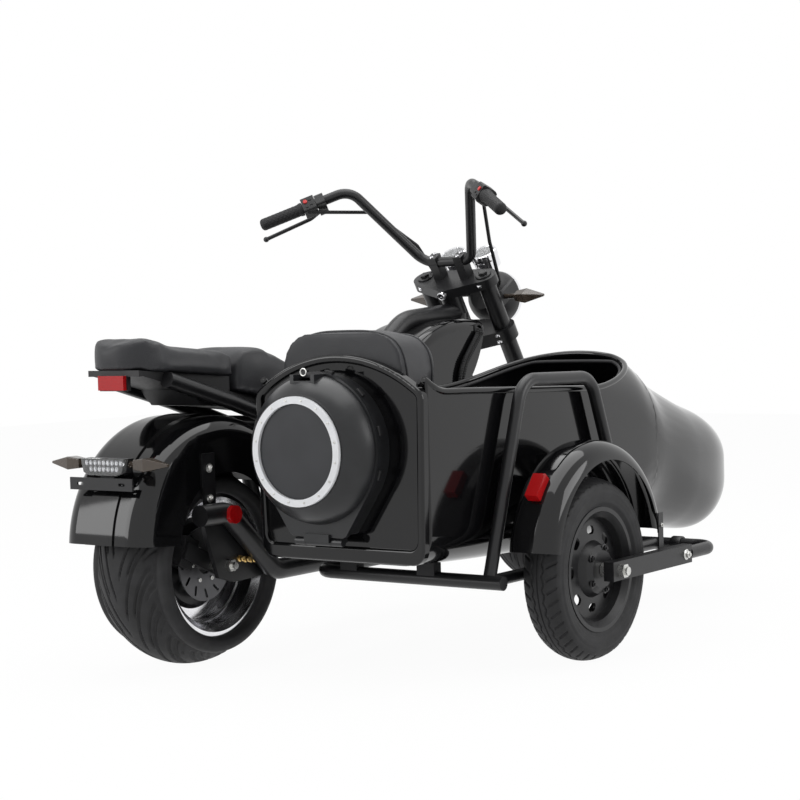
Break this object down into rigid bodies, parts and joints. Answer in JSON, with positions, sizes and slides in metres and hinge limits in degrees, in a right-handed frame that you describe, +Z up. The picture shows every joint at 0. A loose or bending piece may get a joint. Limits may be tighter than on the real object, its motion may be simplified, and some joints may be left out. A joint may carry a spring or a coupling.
{
  "type": "electric motorcycle with sidecar",
  "caption": "Electric cruiser motorcycle with a wide rear tyre, raked fork and high handlebar, with an open sidecar and round luggage box on its right side.",
  "frame": {"origin": "on the ground under the middle of the bounding box", "axes": "+X forward, +Y to the rider's left, +Z up; the sidecar lies at -Y"},
  "size_m": [2.0912, 1.3765, 1.1684],
  "materials": {
    "gloss_black": "gloss",
    "satin_black": "satin",
    "black_plastic": "fine grain",
    "charcoal_plastic": "satin",
    "polished_alloy": "polished",
    "steel": "brushed",
    "tyre": "rubber",
    "rubber": "matt",
    "leather": "stitched vinyl",
    "clear_lens": "clear",
    "smoke_lens": "smoked",
    "red_lens": "reflector",
    "silver_trim": "silver",
    "chrome": "chrome",
    "battery": "powder coat"
  },
  "bodies": {
    "chassis": {"frame_cradle": "satin_black", "frame_backbone": "satin_black", "swing_arm_right": "satin_black", "swing_arm_left": "satin_black", "rear_axle": "steel", "rear_caliper": "black_plastic", "rear_shocks": "satin_black", "rear_mudguard": "gloss_black", "mudguard_stays": "satin_black", "tail_lamp_lens": "clear_lens", "lamp_bracket": "black_plastic", "plate_holder": "black_plastic", "rear_indicators": "smoke_lens", "seat_tray": "black_plastic", "pillion_seat": "leather", "rider_seat": "leather", "battery_case": "battery", "tank_cover": "gloss_black", "foot_pegs": "rubber", "sidecar_chassis": "satin_black", "sidecar_axle_bar": "satin_black", "sidecar_axle": "steel", "sidecar_links": "satin_black", "sidecar_tub": "gloss_black", "sidecar_pads": "rubber", "sidecar_rear_panel": "gloss_black", "sidecar_seat_base": "leather", "sidecar_seat_back": "leather", "sidecar_hoop": "satin_black", "sidecar_mudguard": "gloss_black", "sidecar_guard_stays": "satin_black", "box_base": "charcoal_plastic", "red_reflectors": "red_lens"},
    "rear_wheel": {"rear_tyre": "tyre", "rear_rim": "polished_alloy", "hub_motor": "satin_black", "rear_brake_disc": "steel"},
    "front_wheel": {"front_tyre": "tyre", "front_rim": "polished_alloy", "front_brake_disc": "steel"},
    "sidecar_wheel": {"sidecar_tyre": "tyre", "sidecar_wheel_disc": "satin_black"},
    "luggage_lid": {"box_lid": "charcoal_plastic", "lid_ring": "silver_trim"},
    "steering": {"fork_legs": "satin_black", "front_axle": "steel", "fork_clamps": "satin_black", "handlebar": "satin_black", "bar_risers": "satin_black", "grips": "rubber", "switch_housings": "black_plastic", "lever_perches": "satin_black", "headlamp_lens": "clear_lens", "headlamp_shell": "black_plastic", "front_indicators": "smoke_lens", "gauges": "chrome", "front_mudguard": "gloss_black", "front_caliper": "black_plastic", "control_looms": "rubber"}
  },
  "joints": [
    {"name": "steering_turn", "type": "hinge", "parent": "chassis", "child": "steering", "pos_m": [0.40053, 0.24571, 0.80579], "axis": [-0.5299, 0, 0.848], "range_deg": [-35, 35]},
    {"name": "front_wheel_spin", "type": "hinge", "parent": "steering", "child": "front_wheel", "pos_m": [0.80963, 0.24571, 0.236], "axis": [0, 1, 0], "continuous": true},
    {"name": "rear_wheel_spin", "type": "hinge", "parent": "chassis", "child": "rear_wheel", "pos_m": [-0.75537, 0.24571, 0.238], "axis": [0, 1, 0], "continuous": true},
    {"name": "sidecar_wheel_spin", "type": "hinge", "parent": "chassis", "child": "sidecar_wheel", "pos_m": [-0.29537, -0.57429, 0.212], "axis": [0, 1, 0], "continuous": true},
    {"name": "luggage_lid_hinge", "type": "hinge", "parent": "chassis", "child": "luggage_lid", "pos_m": [-0.80062, -0.19729, 0.313], "axis": [0, -1, 0], "range_deg": [0, 78]}
  ]
}
